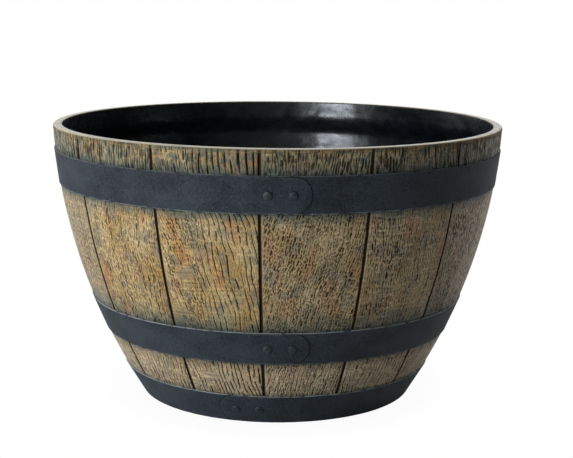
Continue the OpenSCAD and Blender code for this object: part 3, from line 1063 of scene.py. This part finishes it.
wood, lip, hoop_paint, rivet_paint, resin, rubber = (
    wood_material(), lip_material(), hoop_material(), rivet_material(), resin_material(), plug_material())

stave_group = stave_tree()
for i in range(STAVE_COUNT):
    stave = made_with(f"stave_{i + 1}", stave_group, {
        "First Azimuth": SEAM_AZ + i * STAVE_ANGLE, "Angle": STAVE_ANGLE, "Thickness": JACKET_T,
        "Seam Width": SEAM_W, "Seam Depth": SEAM_D, "Seat Depth": SEAT_D, "Relief": 1.0, "Material": wood})
    place_on(stave, "planter", "stave_jacket")

hoop_group, rivet_group = hoop_tree(), rivet_tree()
for seed, (name, (low, high, lap_az, way)) in enumerate(BANDS.items()):
    start, slope = band_line(low, high)
    middle = (low + high) / 2
    lap = {"Lap Azimuth": lap_az, "Lap Direction": float(way), "Lap Rise": LAP_RISE,
           "Lap Radius": (high - low) / 2 - LAP_INSET}
    hoop = made_with(name + "_piece", hoop_group, {
        **lap, "Lower Edge": low, "Upper Edge": high, "Wall Radius": start, "Wall Slope": slope,
        "Proud": HOOP_PROUD, "Sunk": HOOP_SUNK, "Seed": seed * 11.3, "Material": hoop_paint})
    place_on(hoop, "planter", name)
    rivets = made_with(name + "_rivets_piece", rivet_group, {
        **lap, "Step": RIVET_STEP, "Height": middle, "Face Radius": start + slope * middle + HOOP_PROUD,
        "Slope": slope, "Head Radius": RIVET_HEAD_R, "Head Height": RIVET_HEAD_H, "Seed": seed * 7.7,
        "Material": rivet_paint})
    place_on(rivets, "planter", name + "_rivets")

place_on(rim_ring(lip), "planter", "rim_ring")
place_on(inner_bowl(resin), "planter", "inner_bowl")
for i, azimuth in enumerate(DRAIN_AZ):
    plug = drain_plug(f"drain_plug_{i + 1}_piece", azimuth, rubber)
    place_on(plug, f"plug_{i + 1}", f"drain_plug_{i + 1}")


# Studio

def floor_material():
    """Pale floor, which shows white but keeps the planter's shadow close round it."""
    material, tree, point = new_material("studio_floor")
    x, y, _ = tree.parts(point)
    away = (x * x + y * y).root()
    shown = tree.get("ShaderNodeLightPath", {}, {}, "Is Camera Ray")
    matt = tree.get("ShaderNodeBsdfDiffuse", {}, {"Color": (0.6, 0.6, 0.6, 1)})
    white = tree.get("ShaderNodeEmission", {}, {"Color": (1, 1, 1, 1), "Strength": 1.0})
    bright = 0.96 + away.rise(0.16, 0.24) * 0.04
    seen = tree.get("ShaderNodeMixShader", {}, {"Fac": bright, 1: matt, 2: white})
    surface = tree.get("ShaderNodeMixShader", {}, {"Fac": shown, 1: matt, 2: seen})
    tree.add("ShaderNodeOutputMaterial", {}, {"Surface": surface})
    return material


def studio_floor():
    mesh = bmesh.new()
    bmesh.ops.create_grid(mesh, x_segments=8, y_segments=8, size=12)
    floor = as_object("studio_floor", mesh, floor_material())


LAMP_DISTANCE = 2.0


def soft_box(name, azimuth, elevation, width, height, power, colour, mirrored=True, aim_z=0.17):
    """A rectangular lamp that faces the planter, placed by azimuth and elevation in degrees.

    Its width, height and aim are in metres. One that isn't mirrored shows in no gloss.
    """
    data = bpy.data.lights.new(name, "AREA")
    data.shape = "RECTANGLE"
    data.size = width
    data.size_y = height
    data.energy = power
    data.color = colour
    lamp = bpy.data.objects.new(name, data)
    bpy.context.scene.collection.objects.link(lamp)
    aim = Vector((0, 0, aim_z))
    az, el = math.radians(azimuth), math.radians(elevation)
    lamp.location = aim + LAMP_DISTANCE * Vector(
        (math.sin(az) * math.cos(el), -math.cos(az) * math.cos(el), math.sin(el)))
    lamp.rotation_euler = (lamp.location - aim).to_track_quat("Z", "Y").to_euler()
    lamp.visible_glossy = mirrored


def studio_world():
    """A white backdrop behind the planter, and dim, even light from the rest of the room."""
    world = bpy.data.worlds.new("studio")
    world.use_nodes = True
    world.node_tree.nodes.clear()
    tree = Tree(world.node_tree)
    light = tree.add("ShaderNodeLightPath")
    camera, glossy, clear = [Field(tree, light.outputs[name]) for name in (
        "Is Camera Ray", "Is Glossy Ray", "Is Transmission Ray")]
    mirrored = glossy.most(clear)
    x, y, _ = tree.parts(tree.get("ShaderNodeTexCoord", {}, {}, "Generated"))
    behind = y.rise(0.1, 0.8) * x.fall(0.15, 0.5)
    before = (x * -0.26 + y * -0.97).rise(0.4, 0.95)
    beside = (x * -1).rise(0.4, 1.0)
    room = 0.03 + before * 0.12 + beside * 0.05 + behind * 0.95
    soft = 0.045 + y.rise(0.45, 0.95) * 2.1
    strength = (1 - camera) * (mirrored * room + (1 - mirrored) * soft) + camera
    shader = tree.get("ShaderNodeBackground", {}, {"Color": (1, 1, 1, 1), "Strength": strength})
    tree.add("ShaderNodeOutputWorld", {}, {"Surface": shader})
    bpy.context.scene.world = world


def camera_at(place, pitch, yaw, roll, lens):
    """The camera, by its place and the way that it looks, in degrees."""
    data = bpy.data.cameras.new("camera")
    data.lens = lens
    data.sensor_fit = "HORIZONTAL"
    data.sensor_width = 36
    data.dof.use_dof = False
    camera = bpy.data.objects.new("camera", data)
    bpy.context.scene.collection.objects.link(camera)
    down, aside = math.radians(pitch), math.radians(yaw)
    looks = Vector((math.sin(aside) * math.cos(down), math.cos(aside) * math.cos(down), -math.sin(down)))
    turned_to = looks.to_track_quat("-Z", "Y") @ Quaternion((0, 0, 1), math.radians(roll))
    camera.location = place
    camera.rotation_euler = turned_to.to_euler()
    bpy.context.scene.camera = camera


studio_floor()
studio_world()
soft_box("key", azimuth=-69, elevation=10, width=1.6, height=1.2, power=15,
         colour=(1, 1, 1), mirrored=False)
soft_box("low", azimuth=-66, elevation=3, width=1.8, height=0.5, power=6.5,
         colour=(0.92, 0.97, 1), mirrored=False, aim_z=0.16)
soft_box("front", azimuth=-36, elevation=13, width=0.75, height=0.45, power=13,
         colour=(0.85, 0.94, 1))
soft_box("rim right", azimuth=132, elevation=18, width=1.0, height=0.6, power=16,
         colour=(1, 0.97, 0.97), mirrored=False)
soft_box("rim left", azimuth=-130, elevation=18, width=1.0, height=0.6, power=9,
         colour=(0.85, 0.94, 1), mirrored=False)
camera_at((0, -1.618, 0.4923), pitch=10.571, yaw=0.402, roll=0.532, lens=86.07)
bpy.context.scene.view_settings.view_transform = "Standard"
